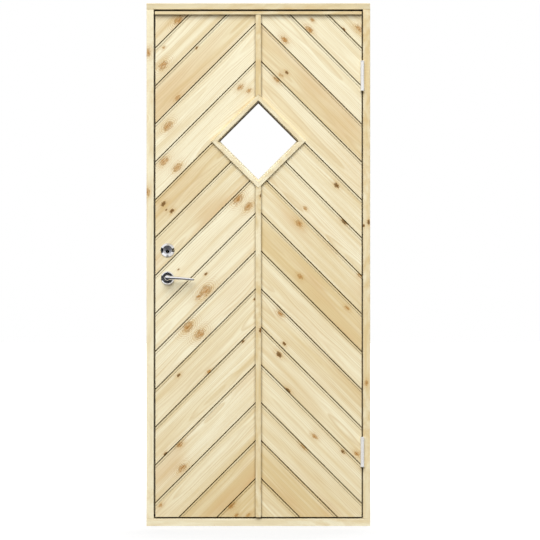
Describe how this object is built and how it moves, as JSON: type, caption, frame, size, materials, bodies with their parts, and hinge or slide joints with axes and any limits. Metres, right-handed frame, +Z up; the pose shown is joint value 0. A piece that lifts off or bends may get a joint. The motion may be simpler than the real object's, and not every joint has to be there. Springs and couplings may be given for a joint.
{
  "type": "shed door",
  "caption": "Pine shed door in its frame, with chevron tongue-and-groove boards, a diamond window, barrel hinges, a lever handle and a lock cylinder; opens outward.",
  "frame": {"origin": "centre of the sill's underside, at mid depth of the frame", "axes": "+X to the right seen from outside, +Y inward through the doorway, +Z up"},
  "size_m": [0.89, 0.164, 2.08],
  "materials": {
    "planed_pine": "planed, untreated",
    "frame_pine": "planed, untreated",
    "clear_glass": "clear float",
    "seal_rubber": "matte",
    "bright_chrome": "polished",
    "zinc_steel": "zinc plated, satin"
  },
  "bodies": {
    "frame": {"frame_head": "frame_pine", "frame_sill": "frame_pine", "hinge_jamb": "frame_pine", "lock_jamb": "frame_pine", "weather_seals": "seal_rubber", "strike_plate": "zinc_steel", "upper_hinge_frame_half": "zinc_steel", "lower_hinge_frame_half": "zinc_steel"},
    "leaf": {"left_chevron_boards": "planed_pine", "right_chevron_boards": "planed_pine", "back_boards": "planed_pine", "lock_stile": "planed_pine", "hinge_stile": "planed_pine", "top_rail": "planed_pine", "bottom_rail": "planed_pine", "centre_muntin": "planed_pine", "window_casing": "planed_pine", "window_glass": "clear_glass", "glazing_beads": "planed_pine", "window_battens": "planed_pine", "window_back_battens": "planed_pine", "drip_strip": "planed_pine", "upper_centre_batten": "planed_pine", "lower_centre_batten": "planed_pine", "lock_case": "zinc_steel", "lock_bolts": "zinc_steel", "outside_rose": "bright_chrome", "inside_rose": "bright_chrome", "lock_cylinder": "bright_chrome", "thumb_turn_rose": "bright_chrome", "upper_hinge_leaf_half": "zinc_steel", "lower_hinge_leaf_half": "zinc_steel"},
    "lever": {"outside_lever": "bright_chrome", "inside_lever": "bright_chrome", "lever_spindle": "zinc_steel"},
    "key": {"key_plug": "zinc_steel", "thumb_turn": "bright_chrome"}
  },
  "joints": [
    {"name": "leaf_swing", "type": "hinge", "parent": "frame", "child": "leaf", "pos_m": [0.4135, -0.056, 0], "axis": [0, 0, 1], "range_deg": [0, 170]},
    {"name": "lever_turn", "type": "hinge", "parent": "leaf", "child": "lever", "pos_m": [-0.361, 0, 0.987], "axis": [0, 1, 0], "range_deg": [0, 45], "stiffness_Nm_per_rad": 1.2, "springref_deg": -34.38},
    {"name": "key_turn", "type": "hinge", "parent": "leaf", "child": "key", "pos_m": [-0.361, 0, 1.092], "axis": [0, 1, 0], "range_deg": [0, 90]}
  ]
}
